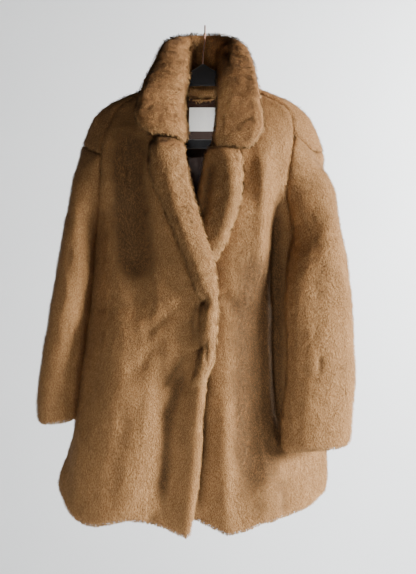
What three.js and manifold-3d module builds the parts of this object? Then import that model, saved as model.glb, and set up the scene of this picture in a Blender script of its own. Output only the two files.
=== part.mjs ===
// A faux fur coat on a slim hanger. Millimetres, +Z up, the front of the coat faces -Y,
// and the origin is the inside top of the hook that the hanger hangs by.
// Right and left are the wearer's: the right side of the coat lies at -X.
import * as THREE from "three";
import { mergeVertices } from "three/addons/utils/BufferGeometryUtils.js";
import Module from "manifold-3d";

// Driving dimensions
const FUR_WALL = 14; // pile, backing and lining of the body and sleeves
const COLLAR_WALL = 22; // two layers of fur, back to back
const LAPEL_WALL = 27; // the turned-back front with its facing
const LAPEL_ROUND = 30; // width of the rounded side of a lapel's roll
const LAPEL_LEAN = 0.85; // the share of that rounding on its outer side
const SEAM_GAP = 0.5; // between neighbouring pieces at a seam
const EDGE_ROUND = 0.3; // how thick a free edge still is at its end, as a share of the wall
const CRUMB = 0.02; // corners closer than this are one
const LINING_WALL = 1.6;
const LINING_EASE = 3; // the lining hangs this far inside the fur
const LABEL = {
  wall: 1.2,
  footX: -35,
  footZ: -197,
  columns: [0, 10, 20, 30, 40, 50, 60],
  rows: [0, 10, 20, 30, 40, 50],
};
const HANGER = { centreX: -4, wall: 9, arm: 20, barTopZ: -227, barFootZ: -241, barHalf: 172 };
const HOOK = { wire: 3.4, inside: 19, stemTopZ: -58, stemFootZ: -90, endAngle: 205 };

// A short table: one object for each row, its keys from the named columns.
function table(columns, rows) {
  const names = columns.split(" ");
  return rows.map((row) => Object.fromEntries(names.map((name, i) => [name, row[i]])));
}

// Lower fronts, hem to underarm: the edge, how far the belly and flank stand forward, the side.
const FRONT_COLUMNS = "edgeX edgeY edgeZ bellyY flankY sideX sideY sideZ";
const FRONT_RIGHT = table(FRONT_COLUMNS, [
  [-28, -118, -975, -116, -78, -297, 5, -930],
  [-14, -117, -905, -115, -76, -291, 6, -893],
  [-5, -115, -820, -113, -74, -264, 8, -822],
  [-2, -112, -740, -109, -64, -247, 10, -745],
  [12, -108, -629, -103, -48, -235, 10, -627],
  [16, -101, -516, -98, -48, -225, 8, -516],
  [-9, -94, -415, -93, -50, -214, 0, -410],
]);
const FRONT_LEFT = table(FRONT_COLUMNS, [
  [-50, -88, -955, -94, -24, 246, 20, -938],
  [-50, -88, -890, -94, -22, 251, 22, -880],
  [-48, -86, -815, -92, -18, 244, 24, -815],
  [-44, -82, -740, -90, -16, 232, 26, -745],
  [-38, -78, -629, -88, -16, 219, 28, -628],
  [-26, -72, -516, -86, -18, 203, 17, -516],
  [-13, -70, -413, -84, -30, 185, 0, -413],
]);

// Upper fronts, chest to shoulder seam: neck edge, chest, cap of the shoulder, armhole.
const YOKE_COLUMNS = "edgeX edgeY edgeZ chestX chestY chestZ capX capY capZ armX armY armZ";
const YOKE_RIGHT = table(YOKE_COLUMNS, [
  [-36, -84, -325, -95, -90, -328, -160, -78, -335, -206, -46, -345],
  [-50, -78, -250, -98, -84, -250, -155, -78, -258, -202, -60, -292],
  [-64, -44, -180, -105, -52, -180, -165, -58, -205, -200, -60, -273],
  [-76, -6, -108, -118, -18, -131, -176, -36, -170, -203, -56, -262],
]);
const YOKE_LEFT = table(YOKE_COLUMNS, [
  [0, -74, -330, 58, -84, -330, 118, -80, -333, 164, -48, -345],
  [18, -76, -258, 66, -84, -256, 125, -80, -262, 164, -60, -288],
  [46, -44, -182, 86, -54, -182, 140, -60, -200, 170, -56, -250],
  [70, -6, -107, 112, -20, -137, 164, -38, -170, 176, -47, -221],
]);

// The back, hem to underarm, measured on the centre line.
const BACK_LOWER = table("centreY centreZ", [
  [100, -932],
  [99, -880],
  [97, -815],
  [94, -740],
  [90, -628],
  [86, -516],
  [80, -413],
]);
// The back above the underarm, over the shoulder to the seam on its front.
const UPPER_COLUMNS =
  "armX armY armZ leftArmX leftArmY leftArmZ capX capY capZ " +
  "chestX chestY chestZ neckX neckY neckZ centreY centreZ";
const BACK_UPPER = table(UPPER_COLUMNS, [
  [-216, 44, -345, 190, 44, -348, -190, 60, -338, -120, 74, -330, -60, 79, -328, 79, -328],
  [-226, 50, -290, 208, 50, -298, -200, 60, -262, -130, 70, -245, -65, 74, -245, 74, -248],
  [-240, 30, -252, 232, 30, -264, -212, 36, -202, -142, 46, -174, -78, 56, -172, 68, -192],
  [-246, -4, -238, 239, -2, -251, -218, -4, -178, -150, 6, -137, -84, 28, -126, 58, -156],
  [-228, -36, -250, 207, -34, -248, -202, -22, -175, -136, -7, -133, -80, 9, -111, 52, -142],
  [-203, -56, -262, 176, -47, -221, -176, -36, -170, -118, -18, -131, -76, -6, -108, 48, -131],
]);
const LEFT_SHIFT = -12; // the left shoulder hangs this much closer to the hook

// The lining, by rows of the back's tables: how many columns it reaches either side of the middle.
const LINING_REACH = table("row reach", [
  [0.4, 3.2],
  [8, 3.2],
  [10, 1.3],
  [11, 1.2],
]);

// Sleeve rings below the armhole: outer and inner point, and the half depth between them.
const RING_COLUMNS = "outX outY outZ inX inY inZ half";
const SLEEVE_RIGHT = table(RING_COLUMNS, [
  [-254, 0, -280, -221, -2, -432, 60],
  [-266, 0, -334, -225, -2, -462, 66],
  [-280, 0, -404, -228, -2, -506, 70],
  [-295, 0, -486, -233, -2, -558, 70],
  [-310, 2, -582, -240, 0, -626, 68],
  [-324, 2, -670, -248, 0, -696, 66],
  [-333, 2, -742, -254, 0, -750, 64],
  [-330, 2, -786, -256, 0, -780, 62],
]);
const SLEEVE_LEFT = table(RING_COLUMNS, [
  [250, -8, -309, 174, -30, -442, 46],
  [260, -20, -385, 163, -58, -496, 44],
  [275, -30, -452, 158, -70, -555, 43],
  [284, -38, -526, 158, -74, -613, 42],
  [287, -44, -603, 159, -74, -666, 41],
  [291, -48, -677, 157, -74, -720, 40],
  [288, -50, -752, 148, -74, -776, 40],
  [281, -52, -824, 149, -72, -832, 39],
]);

// Collar, from the right gorge round the back of the neck to the left gorge. The under side:
// its root on the neck seam, the fold it opens along, and its free edge.
const COLLAR = table("rootX rootY rootZ foldX foldY foldZ tipX tipY tipZ", [
  [-50, -86, -250, -62, -93, -238, -106, -94, -234],
  [-56, -64, -212, -66, -76, -204, -133, -84, -208],
  [-62, -42, -172, -68, -56, -168, -137, -72, -184],
  [-66, -22, -140, -62, -44, -138, -128, -56, -150],
  [-67, -2, -116, -56, -26, -106, -117, -34, -118],
  [-60, 18, -121, -52, -4, -76, -100, -8, -80],
  [-45, 32, -131, -50, 18, -54, -83, 14, -42],
  [-24, 41, -138, -36, 44, -56, -52, 42, -10],
  [0, 44, -140, 0, 60, -66, 0, 60, 0],
  [24, 41, -138, 36, 44, -56, 50, 42, -10],
  [43, 32, -131, 48, 18, -56, 81, 14, -46],
  [57, 18, -121, 48, -4, -80, 96, -8, -82],
  [63, -2, -116, 46, -26, -110, 103, -34, -118],
  [60, -22, -142, 46, -46, -142, 107, -56, -150],
  [55, -42, -174, 46, -62, -176, 111, -74, -188],
  [46, -62, -214, 43, -80, -214, 114, -90, -224],
  [32, -86, -262, 36, -97, -258, 84, -100, -260],
]);

// Lapel rolls at heights up the front: how far each reaches from the front edge, and past it.
const LAPEL_RIGHT = table("height reach past", [
  [-712, 16, 2],
  [-690, 22, 5],
  [-640, 25, 8],
  [-592, 28, 8],
  [-545, 25, 9],
  [-509, 38, 9],
  [-461, 44, 9],
  [-410, 50, 9],
  [-349, 54, 9],
  [-300, 62, 9],
  [-266, 58, 8],
  [-244, 44, 6],
]);
const LAPEL_LEFT = table("height reach past", [
  [-477, 36, 0],
  [-454, 49, 2],
  [-425, 59, 6],
  [-397, 67, 10],
  [-370, 73, 12],
  [-335, 75, 12],
  [-308, 70, 12],
  [-290, 63, 12],
  [-262, 50, 10],
]);

// Folds: a path from top to foot seen from the front, its half width and how far it stands out.
const FOLD_COLUMNS = "x1 z1 x2 z2 x3 z3 half out";
const FOLDS_RIGHT = table(FOLD_COLUMNS, [
  [-186, -196, -196, -250, -190, -340, 12, 7],
  [-138, -240, -132, -400, -128, -570, 25, -15],
  [-176, -380, -170, -600, -160, -840, 24, 7],
  [-30, -640, -62, -700, -96, -780, 12, -7],
  [-28, -640, -66, -770, -80, -970, 20, -9],
  [-110, -700, -128, -830, -150, -960, 26, 8],
  [-4, -660, -16, -850, -32, -975, 14, 8],
  [-215, -780, -222, -870, -236, -950, 18, 7],
]);
const FOLDS_LEFT = table(FOLD_COLUMNS, [
  [112, -230, 110, -360, 108, -520, 14, 8],
  [150, -300, 152, -520, 156, -830, 22, -16],
  [84, -560, 88, -700, 96, -880, 20, -9],
  [36, -760, 34, -870, 40, -980, 16, 7],
  [118, -760, 124, -860, 130, -960, 18, 8],
  [190, -880, 196, -920, 200, -960, 16, 6],
]);

// Length of each hem below or above the straight line between its ends.
const HEM_RIGHT = table("x z", [
  [-294, -925],
  [-268, -951],
  [-233, -966],
  [-208, -967],
  [-178, -962],
  [-147, -956],
  [-109, -960],
  [-75, -971],
  [-50, -983],
  [-33, -985],
  [-22, -978],
]);
const HEM_LEFT = table("x z", [
  [-50, -950],
  [0, -970],
  [22, -984],
  [46, -988],
  [76, -982],
  [115, -969],
  [149, -965],
  [192, -957],
  [225, -946],
  [242, -932],
]);
const HEM_FADE = 130; // height over which the uneven hem runs out

// The hanger's top edge from its middle to a tip, as far as the cloth over it lets it rise.
const HANGER_TOP = table("x z", [
  [0, -75],
  [14, -85],
  [28, -92],
  [36, -108],
  [42, -138],
  [74, -143],
  [112, -146],
  [150, -152],
  [184, -166],
  [197, -178],
  [200, -192],
]);

const wasm = await Module();
wasm.setup();

const v3 = (x, y, z) => new THREE.Vector3(x, y, z);

// A smooth curve through points, t in whole steps from one to the next.
function through(points, t) {
  const last = points.length - 1;
  const i = Math.min(Math.floor(t), last - 1);
  const f = t - i;
  const p1 = points[i];
  const p2 = points[i + 1];
  const p0 = i > 0 ? points[i - 1] : p1.clone().multiplyScalar(2).sub(p2);
  const p3 = i + 2 <= last ? points[i + 2] : p2.clone().multiplyScalar(2).sub(p1);
  const out = v3(0, 0, 0);
  const f2 = f * f;
  const f3 = f2 * f;
  out.addScaledVector(p0, (-f3 + 2 * f2 - f) / 2);
  out.addScaledVector(p1, (3 * f3 - 5 * f2 + 2) / 2);
  out.addScaledVector(p2, (-3 * f3 + 4 * f2 + f) / 2);
  out.addScaledVector(p3, (f3 - f2) / 2);
  return out;
}

// A grid of points on the smooth surface through a control grid.
function surface(control, rowSteps, columnSteps) {
  const columns = control[0].length;
  return rowSteps.map((r) => {
    const row = [];
    for (let c = 0; c < columns; c++) row.push(through(control.map((line) => line[c]), r));
    return columnSteps.map((t) => through(row, t));
  });
}

// A value read between the rows of a table, by one named column from another.
function read(rows, from, to, at) {
  const sorted = [...rows].sort((a, b) => a[from] - b[from]);
  if (at <= sorted[0][from]) return sorted[0][to];
  for (let i = 1; i < sorted.length; i++) {
    if (at > sorted[i][from]) continue;
    const f = (at - sorted[i - 1][from]) / (sorted[i][from] - sorted[i - 1][from]);
    const eased = f * f * (3 - 2 * f);
    return THREE.MathUtils.lerp(sorted[i - 1][to], sorted[i][to], eased);
  }
  return sorted[sorted.length - 1][to];
}

// Unit normals of a grid; `side` is +1 or -1 so that they point out of the coat.
function normals(grid, side, closed) {
  const rows = grid.length;
  const columns = grid[0].length;
  return grid.map((line, r) =>
    line.map((_, c) => {
      const up = grid[Math.min(r + 1, rows - 1)][c].clone().sub(grid[Math.max(r - 1, 0)][c]);
      const next = closed ? (c + 1) % columns : Math.min(c + 1, columns - 1);
      const back = closed ? (c + columns - 1) % columns : Math.max(c - 1, 0);
      const along = line[next].clone().sub(line[back]);
      return up.cross(along).multiplyScalar(side).normalize();
    }),
  );
}

// Push a grid's points out along its normals by the folds near them.
function foldGrid(grid, side, folds) {
  const out = normals(grid, side, false);
  return grid.map((line, r) =>
    line.map((p, c) => {
      let push = 0;
      for (const fold of folds) {
        const path = [v3(fold.x1, fold.z1, 0), v3(fold.x2, fold.z2, 0), v3(fold.x3, fold.z3, 0)];
        let nearest = Infinity;
        let along = 0;
        for (let i = 0; i <= 20; i++) {
          const spot = through(path, i / 10);
          const far = Math.hypot(spot.x - p.x, spot.y - p.z);
          if (far < nearest) {
            nearest = far;
            along = i / 20;
          }
        }
        const ends = Math.min(1, 4 * along + 0.25, 4 * (1 - along) + 0.4);
        push += fold.out * ends * Math.exp(-((nearest / fold.half) ** 2));
      }
      return p.clone().addScaledVector(out[r][c], push);
    }),
  );
}

// Let the foot of a grid follow its uneven hem.
function settleHem(grid, hem) {
  return grid.map((line) =>
    line.map((p, c) => {
      const foot = grid[0][c];
      const share = Math.max(0, 1 - (p.z - foot.z) / HEM_FADE);
      const drop = read(hem, "x", "z", foot.x) - foot.z;
      return v3(p.x, p.y, p.z + drop * share);
    }),
  );
}

// The panels' outer surfaces. Rows run from the hem up, columns from the front edge to the side.
const LOWER_STEPS = [0, 0.04, 0.1, 0.35, 0.7, 1.1, 1.6, 2.2, 2.8, 3.4, 4, 4.6, 5.3, 6];
const FRONT_TOP_STEPS = [6.5, 7, 7.5, 8, 8.5, 9, 9.5, 10];
const BACK_TOP_STEPS = [6.5, 7, 7.5, 8, 8.5, 9, 9.5, 10, 10.5, 11, 11.5, 12];
const FRONT_STEPS = [0, 0.04, 0.12, 0.35, 0.6, 0.85, 1.1, 1.35, 1.6, 1.85, 2.1, 2.4, 2.7, 3];
const BELLY_SHARE = 0.5;
const FLANK_SHARE = 0.84;
const mix = THREE.MathUtils.lerp;

function frontControl(lower, yoke) {
  const low = lower.map((q) => [
    v3(q.edgeX, q.edgeY, q.edgeZ),
    v3(mix(q.edgeX, q.sideX, BELLY_SHARE), q.bellyY, mix(q.edgeZ, q.sideZ, BELLY_SHARE)),
    v3(mix(q.edgeX, q.sideX, FLANK_SHARE), q.flankY, mix(q.edgeZ, q.sideZ, FLANK_SHARE)),
    v3(q.sideX, q.sideY, q.sideZ),
  ]);
  const high = yoke.map((q) => [
    v3(q.edgeX, q.edgeY, q.edgeZ),
    v3(q.chestX, q.chestY, q.chestZ),
    v3(q.capX, q.capY, q.capZ),
    v3(q.armX, q.armY, q.armZ),
  ]);
  return [...low, ...high];
}

function backControl() {
  const low = BACK_LOWER.map((q, i) => {
    const right = FRONT_RIGHT[i];
    const left = FRONT_LEFT[i];
    const middle = (right.sideX + left.sideX) / 2;
    const point = (side, share, depth) =>
      v3(
        mix(middle, side.sideX, share),
        mix(side.sideY, q.centreY, depth),
        mix(q.centreZ, side.sideZ, share),
      );
    return [
      point(right, 1, 0),
      point(right, 0.88, 0.5),
      point(right, 0.6, 0.85),
      point(right, 0.3, 0.97),
      v3(middle, q.centreY, q.centreZ),
      point(left, 0.3, 0.97),
      point(left, 0.6, 0.85),
      point(left, 0.88, 0.5),
      point(left, 1, 0),
    ];
  });
  const high = BACK_UPPER.map((q) => [
    v3(q.armX, q.armY, q.armZ),
    v3(q.capX, q.capY, q.capZ),
    v3(q.chestX, q.chestY, q.chestZ),
    v3(q.neckX, q.neckY, q.neckZ),
    v3(LEFT_SHIFT / 2, q.centreY, q.centreZ),
    v3(-q.neckX + LEFT_SHIFT / 2, q.neckY, q.neckZ),
    v3(-q.chestX + LEFT_SHIFT, q.chestY, q.chestZ),
    v3(-q.capX + LEFT_SHIFT, q.capY, q.capZ),
    v3(q.leftArmX, q.leftArmY, q.leftArmZ),
  ]);
  return [...low, ...high];
}

const frontRows = [...LOWER_STEPS, ...FRONT_TOP_STEPS];
const backRows = [...LOWER_STEPS, ...BACK_TOP_STEPS];
const shoulderSteps = FRONT_STEPS.map((t) => 3 - t).reverse();
const neckSteps = [3.25, 3.5, 3.75, 4, 4.25, 4.5, 4.75];
const backSteps = [
  ...shoulderSteps,
  ...neckSteps,
  ...shoulderSteps.map((t) => 8 - t).reverse(),
];

const rightControl = frontControl(FRONT_RIGHT, YOKE_RIGHT);
const leftControl = frontControl(FRONT_LEFT, YOKE_LEFT);
const frontRight = settleHem(
  foldGrid(surface(rightControl, frontRows, FRONT_STEPS), 1, FOLDS_RIGHT),
  HEM_RIGHT,
);
const frontLeft = settleHem(
  foldGrid(surface(leftControl, frontRows, FRONT_STEPS), -1, FOLDS_LEFT),
  HEM_LEFT,
);
const backGrid = surface(backControl(), backRows, backSteps);

// Seams: the back takes its side and shoulder points from the fronts.
const underarm = LOWER_STEPS.length - 1;
const topFront = frontRows.length - 1;
const topBack = backRows.length - 1;
const sideColumn = FRONT_STEPS.length - 1;
const lastBack = backSteps.length - 1;
for (let r = 0; r <= underarm; r++) {
  backGrid[r][0] = frontRight[r][sideColumn].clone();
  backGrid[r][lastBack] = frontLeft[r][sideColumn].clone();
}
for (let c = 0; c <= sideColumn; c++) {
  backGrid[topBack][sideColumn - c] = frontRight[topFront][c].clone();
  backGrid[topBack][lastBack - sideColumn + c] = frontLeft[topFront][c].clone();
}

// The armhole, from the underarm up the front, over the shoulder seam and down the back.
function armhole(front, backColumn) {
  const ring = [];
  for (let r = underarm; r <= topFront; r++) ring.push(front[r][sideColumn].clone());
  for (let r = topBack - 1; r > underarm; r--) ring.push(backGrid[r][backColumn].clone());
  return ring;
}

// A sleeve: columns go round it, rows from the armhole to the cuff.
const SLEEVE_STEPS = [0, 0.4, 0.8, 1.2, 1.7, 2.2, 2.8, 3.4, 4, 4.6, 5.2, 5.8, 6.4, 7, 7.6, 7.88, 8];
function sleeveGrid(ring, table) {
  const lengths = [0];
  for (let i = 1; i <= ring.length; i++)
    lengths.push(lengths[i - 1] + ring[i % ring.length].distanceTo(ring[i - 1]));
  const turn = (i) => (2 * Math.PI * lengths[i]) / lengths[ring.length];
  const control = [ring];
  for (const q of table) {
    const outer = v3(q.outX, q.outY, q.outZ);
    const inner = v3(q.inX, q.inY, q.inZ);
    const centre = outer.clone().add(inner).multiplyScalar(0.5);
    const across = inner.clone().sub(centre);
    const forward = v3(-across.y, across.x, 0).normalize();
    if (forward.y > 0) forward.negate();
    control.push(
      ring.map((_, i) =>
        centre
          .clone()
          .addScaledVector(across, Math.cos(turn(i)))
          .addScaledVector(forward, q.half * Math.sin(turn(i))),
      ),
    );
  }
  return SLEEVE_STEPS.map((s) => ring.map((_, c) => through(control.map((row) => row[c]), s)));
}
const sleeveRight = sleeveGrid(armhole(frontRight, 0), SLEEVE_RIGHT);
const sleeveLeft = sleeveGrid(armhole(frontLeft, lastBack), SLEEVE_LEFT);

// The collar's under side: across it, a parabola from the root over the fold to the free edge.
const COLLAR_AROUND = 30;
const COLLAR_ACROSS = [0, 0.18, 0.34, 0.5, 0.66, 0.82, 0.94, 1];
function collarGrid() {
  const at = (key, t) =>
    through(COLLAR.map((q) => v3(q[key + "X"], q[key + "Y"], q[key + "Z"])), t);
  const grid = [];
  for (let i = 0; i <= COLLAR_AROUND; i++) {
    const t = (i / COLLAR_AROUND) * (COLLAR.length - 1);
    const root = at("root", t);
    const fold = at("fold", t);
    const tip = at("tip", t);
    grid.push(
      COLLAR_ACROSS.map((s) => {
        const p = root.clone().multiplyScalar(2 * (s - 0.5) * (s - 1));
        p.addScaledVector(fold, 4 * s * (1 - s));
        return p.addScaledVector(tip, 2 * s * (s - 0.5));
      }),
    );
  }
  return grid;
}

// Walls. A wall is made from its outer points; free edges are rounded, a blunt one over a
// shorter way, and at a seam the edge steps back by half the seam gap. Seam points share the mean of their panels' normals.
const shared = new Map();
const key = (p) => [p.x, p.y, p.z].map((n) => Math.round(n * 100)).join();

function share(grid, side, closed) {
  const out = normals(grid, side, closed);
  grid.forEach((line, r) =>
    line.forEach((p, c) => {
      const found = shared.get(key(p)) || v3(0, 0, 0);
      shared.set(key(p), found.add(out[r][c]));
    }),
  );
}

function wall(grid, options) {
  const { side, thick, round = thick / 2, lean = 0.5 } = options;
  const { free = {}, blunt = {}, seam = {}, closed = false, grow = 0, widen = 0 } = options;
  const rows = grid.length;
  const columns = grid[0].length;
  const own = normals(grid, side, closed);
  const lastRow = rows - 1;
  const lastColumn = columns - 1;
  const never = () => false;
  const edge = (ends, name, r) => (ends[name] || never)(r);
  const outer = [];
  const inner = [];
  for (let r = 0; r < rows; r++) {
    for (let c = 0; c < columns; c++) {
      const p = grid[r][c].clone();
      const mean = (shared.get(key(p)) || own[r][c]).clone();
      const normal = mean.length() > 0.35 ? mean.normalize() : own[r][c].clone();
      // the four edges: their point in this row or column, and whether this point is on it
      const edges = [
        ["foot", grid[0][c], r === 0, grid[1][c]],
        ["top", grid[lastRow][c], r === lastRow, grid[lastRow - 1][c]],
      ];
      if (!closed) {
        edges.push(["first", grid[r][0], c === 0, grid[r][1]]);
        edges.push(["last", grid[r][lastColumn], c === lastColumn, grid[r][lastColumn - 1]]);
      }
      let near = Infinity;
      for (const [name, end, here, inward] of edges) {
        const far = grid[r][c].distanceTo(end) * (blunt[name] || 1);
        if (edge(free, name, r)) near = Math.min(near, far);
        if (!here) continue;
        const back = (edge(seam, name, r) ? SEAM_GAP / 2 : 0) - widen;
        const step = inward.clone().sub(grid[r][c]).projectOnPlane(normal).normalize();
        p.addScaledVector(step, back);
      }
      const reach = Math.min(1, near / round);
      const loss = thick * (1 - Math.max(EDGE_ROUND, Math.sqrt(1 - (1 - reach) ** 2)));
      outer.push(p.clone().addScaledVector(normal, grow - lean * loss));
      inner.push(p.clone().addScaledVector(normal, (1 - lean) * loss - thick - grow));
    }
  }
  const faces = [];
  const quad = (a, b, c, d) => faces.push(a, b, c, a, c, d);
  const count = rows * columns;
  const at = (r, c) => r * columns + (c % columns);
  const spans = closed ? columns : columns - 1;
  for (let r = 0; r < lastRow; r++) {
    for (let c = 0; c < spans; c++) {
      quad(at(r, c), at(r, c + 1), at(r + 1, c + 1), at(r + 1, c));
      quad(
        count + at(r, c),
        count + at(r + 1, c),
        count + at(r + 1, c + 1),
        count + at(r, c + 1),
      );
    }
  }
  for (let c = 0; c < spans; c++) {
    quad(at(0, c + 1), at(0, c), count + at(0, c), count + at(0, c + 1));
    quad(at(lastRow, c), at(lastRow, c + 1), count + at(lastRow, c + 1), count + at(lastRow, c));
  }
  if (!closed) {
    for (let r = 0; r < lastRow; r++) {
      quad(at(r, 0), at(r + 1, 0), count + at(r + 1, 0), count + at(r, 0));
      quad(
        at(r + 1, lastColumn),
        at(r, lastColumn),
        count + at(r, lastColumn),
        count + at(r + 1, lastColumn),
      );
    }
  }
  return solidFrom([...outer, ...inner], faces);
}

// A solid from points and faces, turned right side out.
function solidFrom(points, faces) {
  let volume = 0;
  for (let i = 0; i < faces.length; i += 3) {
    const [a, b, c] = [points[faces[i]], points[faces[i + 1]], points[faces[i + 2]]];
    volume += a.dot(b.clone().cross(c)) / 6;
  }
  if (volume < 0)
    for (let i = 0; i < faces.length; i += 3) [faces[i], faces[i + 1]] = [faces[i + 1], faces[i]];
  return new wasm.Manifold(
    new wasm.Mesh({
      numProp: 3,
      vertProperties: new Float32Array(points.flatMap((p) => [p.x, p.y, p.z])),
      triVerts: new Uint32Array(faces),
    }),
  );
}

// A three.js geometry as a solid, its vertices merged where they lie closer than `merge`.
function solidOf(geometry, merge = 1e-3) {
  const plain = geometry.clone();
  plain.deleteAttribute("normal");
  plain.deleteAttribute("uv");
  const merged = mergeVertices(plain, merge);
  return new wasm.Manifold(
    new wasm.Mesh({
      numProp: 3,
      vertProperties: merged.attributes.position.array,
      triVerts: new Uint32Array(merged.index.array),
    }),
  );
}

// What is left of a solid outside others, without crumbs.
function clearOf(solid, others) {
  const left = others.reduce((rest, other) => rest.subtract(other), solid);
  const largest = (solid) =>
    solid.decompose().reduce((a, b) => (b.volume() > a.volume() ? b : a));
  return largest(solidOf(geometryOf(largest(solidOf(geometryOf(left), CRUMB)))));
}

function geometryOf(solid) {
  const mesh = solid.getMesh();
  const geometry = new THREE.BufferGeometry();
  geometry.setAttribute("position", new THREE.BufferAttribute(mesh.vertProperties, 3));
  geometry.setIndex(new THREE.BufferAttribute(mesh.triVerts, 1));
  return geometry;
}

const coat = new THREE.Group();

function add(name, solid, color, roughness, metalness = 0) {
  const geometry = geometryOf(solid);
  geometry.computeVertexNormals();
  const material = new THREE.MeshStandardMaterial({ color, roughness, metalness });
  const node = new THREE.Mesh(geometry, material);
  node.name = name;
  coat.add(node);
}

// A grid's points moved in by a depth, against its normals.
function insideOf(grid, depth) {
  const out = normals(grid, 1, false);
  return grid.map((line, r) => line.map((p, c) => p.clone().addScaledVector(out[r][c], -depth)));
}

// The point of the back that has a given x and z, found from a start below the neck.
function onBack(x, z) {
  const spot = (row, column) => through(backGrid.map((line) => through(line, column)), row);
  const step = 0.1;
  let row = backRows.indexOf(9);
  let column = lastBack / 2;
  for (let i = 0; i < 8; i++) {
    const p = spot(row, column);
    row += (step * (z - p.z)) / (spot(row + step, column).z - p.z);
    column += (step * (x - p.x)) / (spot(row, column + step).x - p.x);
  }
  return spot(row, column);
}

// The row where a grid's first column has a given height.
function rowAt(grid, height) {
  let low = 0;
  let high = grid.length - 1;
  for (let i = 0; i < 24; i++) {
    const middle = (low + high) / 2;
    const z = through(grid.map((line) => line[0]), middle).z;
    if (z < height) low = middle;
    else high = middle;
  }
  return (low + high) / 2;
}

// Points across a panel from its first column, at given lengths along it, moved out by `lift`.
function across(grid, side, row, lengths, lift) {
  const columns = grid[0].length;
  const line = [];
  for (let c = 0; c < columns; c++) line.push(through(grid.map((points) => points[c]), row));
  const higher = Math.min(row + 0.2, grid.length - 1);
  const above = line.map((_, c) => through(grid.map((points) => points[c]), higher));
  const walked = [0];
  for (let c = 1; c < columns; c++) walked.push(walked[c - 1] + line[c].distanceTo(line[c - 1]));
  const outward = (c) => {
    const along = line[Math.min(c + 1, columns - 1)].clone().sub(line[Math.max(c - 1, 0)]);
    return above[c].clone().sub(line[c]).cross(along).multiplyScalar(side).normalize();
  };
  return lengths.map((length) => {
    let c = 0;
    while (c < columns - 2 && walked[c + 1] < length) c++;
    const f = (length - walked[c]) / (walked[c + 1] - walked[c]);
    const p = line[c].clone().lerp(line[c + 1], f);
    const normal = outward(c).lerp(outward(c + 1), THREE.MathUtils.clamp(f, 0, 1)).normalize();
    return p.addScaledVector(normal, lift);
  });
}

// A lapel roll, from the front's own points moved out.
const LAPEL_ALONG = 24;
const LAPEL_ACROSS = [0, 0.04, 0.12, 0.24, 0.38, 0.52, 0.66, 0.8, 0.9, 0.96, 1];
function lapelGrid(front, side, table) {
  const lift = LAPEL_WALL + SEAM_GAP;
  const foot = table[0].height;
  const top = table[table.length - 1].height;
  const grid = [];
  for (let i = 0; i <= LAPEL_ALONG; i++) {
    const height = mix(foot, top, i / LAPEL_ALONG);
    const reach = read(table, "height", "reach", height);
    const past = read(table, "height", "past", height);
    const lengths = LAPEL_ACROSS.map((s) => mix(-past, reach, s));
    grid.push(across(front, side, rowAt(front, height), lengths, lift));
  }
  return grid;
}

// The body and the sleeves
const gorgeRow = frontRows.indexOf(8);
const always = () => true;
share(frontRight, 1, false);
share(frontLeft, -1, false);
share(backGrid, 1, false);
share(sleeveRight, -1, true);
share(sleeveLeft, 1, true);

const FRONT_EDGES = {
  thick: FUR_WALL,
  free: { foot: always, first: (r) => r <= gorgeRow },
  seam: { top: always, last: always, first: (r) => r > gorgeRow },
};
const BACK_EDGES = {
  side: 1,
  thick: FUR_WALL,
  free: { foot: always },
  seam: { top: always, first: always, last: always },
};
const SLEEVE_EDGES = {
  thick: FUR_WALL,
  free: { top: always },
  seam: { foot: always },
  closed: true,
};
const COLLAR_EDGES = {
  side: -1,
  thick: COLLAR_WALL,
  free: { foot: always, top: always, last: always },
};
const LAPEL_EDGES = {
  thick: LAPEL_WALL,
  round: LAPEL_ROUND,
  lean: LAPEL_LEAN,
  blunt: { top: 2 },
  free: { foot: always, top: always, first: always, last: always },
};
const lapelRight = lapelGrid(frontRight, 1, LAPEL_RIGHT);
const lapelLeft = lapelGrid(frontLeft, -1, LAPEL_LEFT);
const walls = {
  back: (more) => wall(backGrid, { ...BACK_EDGES, ...more }),
  front_right: (more) => wall(frontRight, { side: 1, ...FRONT_EDGES, ...more }),
  front_left: (more) => wall(frontLeft, { side: -1, ...FRONT_EDGES, ...more }),
  sleeve_right: (more) => wall(sleeveRight, { side: -1, ...SLEEVE_EDGES, ...more }),
  sleeve_left: (more) => wall(sleeveLeft, { side: 1, ...SLEEVE_EDGES, ...more }),
  collar: (more) => wall(collarGrid(), { ...COLLAR_EDGES, ...more }),
  lapel_right: (more) => wall(lapelRight, { side: 1, ...LAPEL_EDGES, ...more }),
  lapel_left: (more) => wall(lapelLeft, { side: -1, ...LAPEL_EDGES, ...more }),
};
const FUR = 0x9b7346;
const solids = {};
const cutter = (name) => walls[name]({ grow: SEAM_GAP });
const wide = (name) => walls[name]({ grow: SEAM_GAP, widen: SEAM_GAP });
function fit(name, seams, others = []) {
  const cutters = seams.flatMap((other) => [cutter(other), solids[other]]);
  cutters.push(...others.flatMap((other) => [wide(other), solids[other]]));
  solids[name] = clearOf(walls[name]({}), cutters);
}
fit("front_right", []);
fit("front_left", []);
fit("back", ["front_right", "front_left"]);
fit("sleeve_right", ["back", "front_right"]);
fit("sleeve_left", ["back", "front_left"]);
fit("collar", [], ["back", "front_right", "front_left"]);
fit("lapel_right", ["front_right"], ["collar"]);
fit("lapel_left", ["front_left"], ["front_right", "collar", "lapel_right"]);
for (const name of Object.keys(solids)) add(name, solids[name], FUR, 0.95);

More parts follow.
